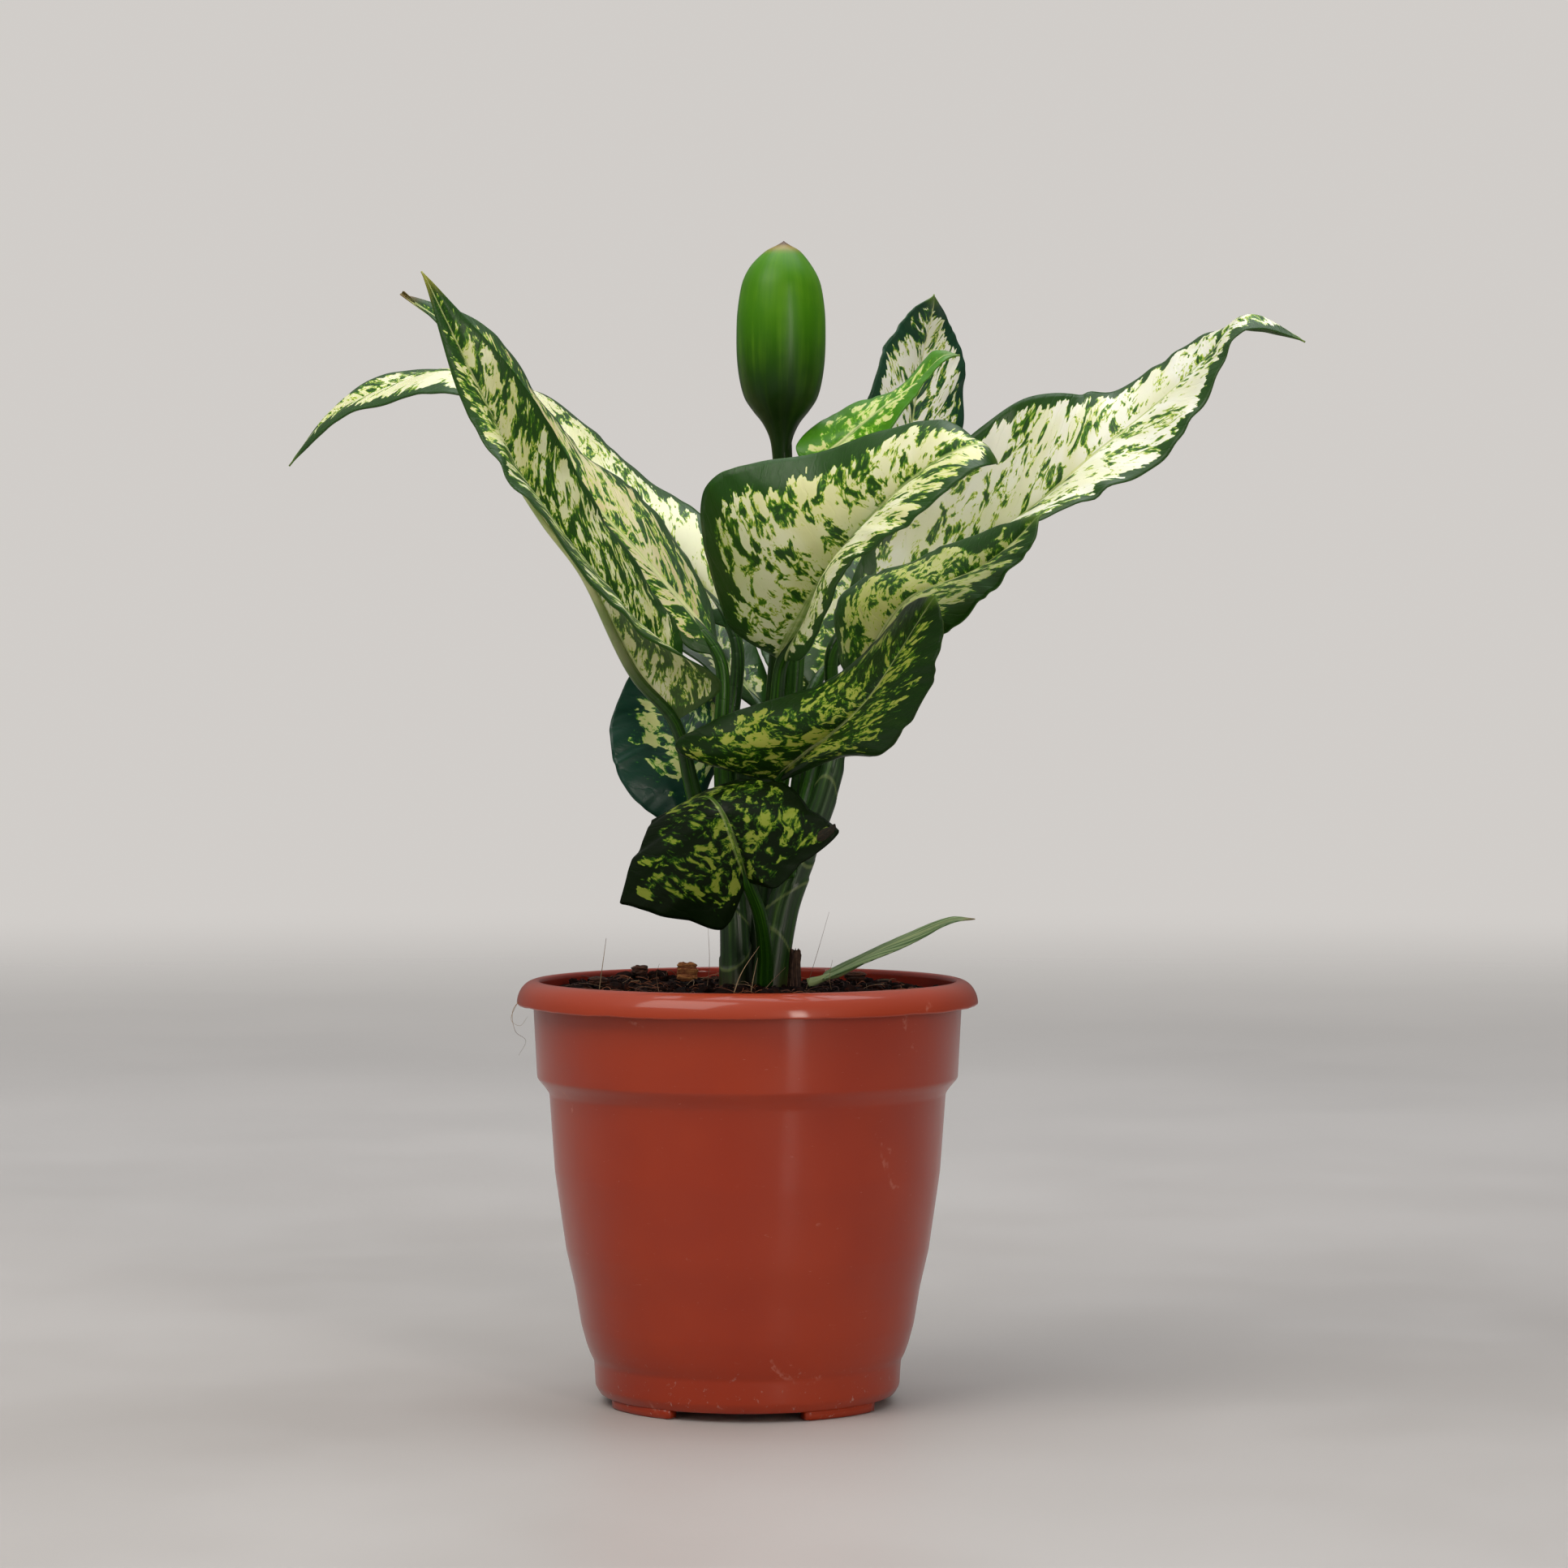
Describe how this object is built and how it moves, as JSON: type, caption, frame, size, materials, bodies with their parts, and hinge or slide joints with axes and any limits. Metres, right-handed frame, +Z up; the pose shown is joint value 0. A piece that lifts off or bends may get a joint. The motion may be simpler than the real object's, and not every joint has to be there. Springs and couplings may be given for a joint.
{
  "type": "potted chinese evergreen",
  "caption": "Chinese evergreen with broad variegated leaves and a closed green flower bud, growing from dark soil in a round moulded plastic pot.",
  "frame": {"origin": "on the ground, under the middle of the plant's spread; the pot's axis stands 12 mm towards -X from it", "axes": "+Z up, -Y towards the viewer of the plant's front, +X to that viewer's right"},
  "size_m": [0.3583, 0.2376, 0.402],
  "materials": {
    "terracotta_plastic": "satin moulded polypropylene with faint handling scratches",
    "potting_soil": "coarse matt crumbs and coir fibres",
    "green_cane": "smooth waxy skin with pale sheath edges",
    "variegated_leaf": "waxy upper surface, cream blotched with dark green margins",
    "dark_leaf": "waxy dark green with yellow green flecks",
    "green_bud": "glossy waxy green",
    "bark": "rough dry bark"
  },
  "bodies": {
    "root": {"pot": "terracotta_plastic", "soil": "potting_soil", "cane_left": "green_cane", "cane_middle": "green_cane", "cane_right": "green_cane", "leaf_left_tall": "variegated_leaf", "leaf_left_upper": "variegated_leaf", "leaf_left_far": "variegated_leaf", "leaf_front_large": "variegated_leaf", "leaf_centre_young": "variegated_leaf", "leaf_right_large": "variegated_leaf", "leaf_right_upright": "variegated_leaf", "leaf_right_low": "variegated_leaf", "leaf_front_low": "dark_leaf", "leaf_front_lowest": "dark_leaf", "leaf_back_left": "dark_leaf", "leaf_rear_right": "variegated_leaf", "leaf_rear_left": "variegated_leaf", "leaf_rear_middle": "variegated_leaf", "blade_of_grass": "dark_leaf", "bud_stalk": "green_bud", "flower_bud": "green_bud", "dry_stub": "bark", "bark_chip_1": "bark", "bark_chip_2": "bark", "bark_chip_3": "bark", "bark_chip_4": "bark"}
  },
  "joints": []
}
